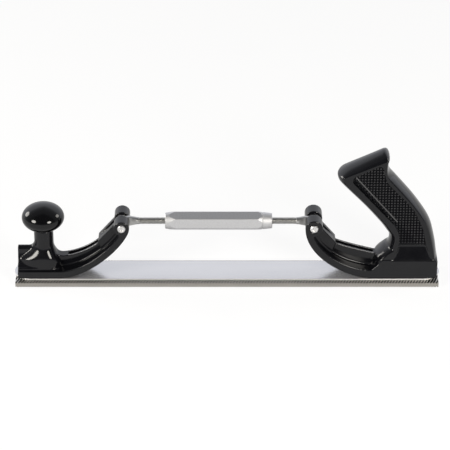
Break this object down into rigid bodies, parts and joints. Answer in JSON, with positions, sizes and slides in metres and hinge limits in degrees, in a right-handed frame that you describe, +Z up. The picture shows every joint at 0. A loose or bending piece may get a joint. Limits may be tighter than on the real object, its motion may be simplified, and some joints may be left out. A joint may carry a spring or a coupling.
{
  "type": "body file",
  "caption": "Adjustable body file: flexible curved-tooth blade on two cast holders with a knob and a pistol grip, bowed by a hexagonal turnbuckle.",
  "frame": {"origin": "middle of the blade's underside, the cutting face that rests on the work", "axes": "+X along the blade towards the rear grip, +Y across the blade, +Z up from the cutting face"},
  "size_m": [0.353, 0.036, 0.1199],
  "materials": {
    "black_enamel": "gloss",
    "black_plastic": "gloss",
    "insert_brass": "satin",
    "zinc_steel": "satin",
    "blade_steel": "satin",
    "plate_steel": "satin",
    "pin_steel": "gloss",
    "rod_steel": "satin",
    "barrel_steel": "satin"
  },
  "bodies": {
    "blade": {"file_blade": "blade_steel", "backing_plate": "plate_steel"},
    "rear_holder": {"rear_casting": "black_enamel", "rear_pivot_pin": "pin_steel", "rear_blade_screw": "zinc_steel"},
    "front_holder": {"front_casting": "black_enamel", "front_pivot_pin": "pin_steel", "front_blade_screw": "zinc_steel", "front_knob": "black_plastic", "knob_insert": "insert_brass", "knob_stud": "zinc_steel"},
    "rear_rod": {"rear_rod_end": "rod_steel"},
    "front_rod": {"front_rod_end": "rod_steel"},
    "barrel": {"turnbuckle_barrel": "barrel_steel"}
  },
  "joints": [
    {"name": "barrel_turn", "type": "hinge", "parent": "blade", "child": "barrel", "pos_m": [-0.0068, 0, 0.0532], "axis": [1, 0, 0], "range_deg": [-1260, 1260]},
    {"name": "rear_flex", "type": "hinge", "parent": "blade", "child": "rear_holder", "pos_m": [0.0714, 0, 0.00225], "axis": [0, 1, 0], "range_deg": [-4, 4], "deforming": ["file_blade", "backing_plate"]},
    {"name": "front_flex", "type": "hinge", "parent": "blade", "child": "front_holder", "pos_m": [-0.0864, 0, 0.00225], "axis": [0, 1, 0], "range_deg": [-4, 4]},
    {"name": "rear_pivot", "type": "hinge", "parent": "rear_holder", "child": "rear_rod", "pos_m": [0.0714, 0, 0.0532], "axis": [0, 1, 0], "range_deg": [-4, 4]},
    {"name": "front_pivot", "type": "hinge", "parent": "front_holder", "child": "front_rod", "pos_m": [-0.0864, 0, 0.0532], "axis": [0, 1, 0], "range_deg": [-4, 4]}
  ],
  "couplings": [
    {"joint": "rear_flex", "follows": "barrel_turn", "ratio": 0.0031237},
    {"joint": "front_flex", "follows": "barrel_turn", "ratio": -0.0031237},
    {"joint": "rear_pivot", "follows": "barrel_turn", "ratio": -0.0031237},
    {"joint": "front_pivot", "follows": "barrel_turn", "ratio": 0.0031237}
  ]
}
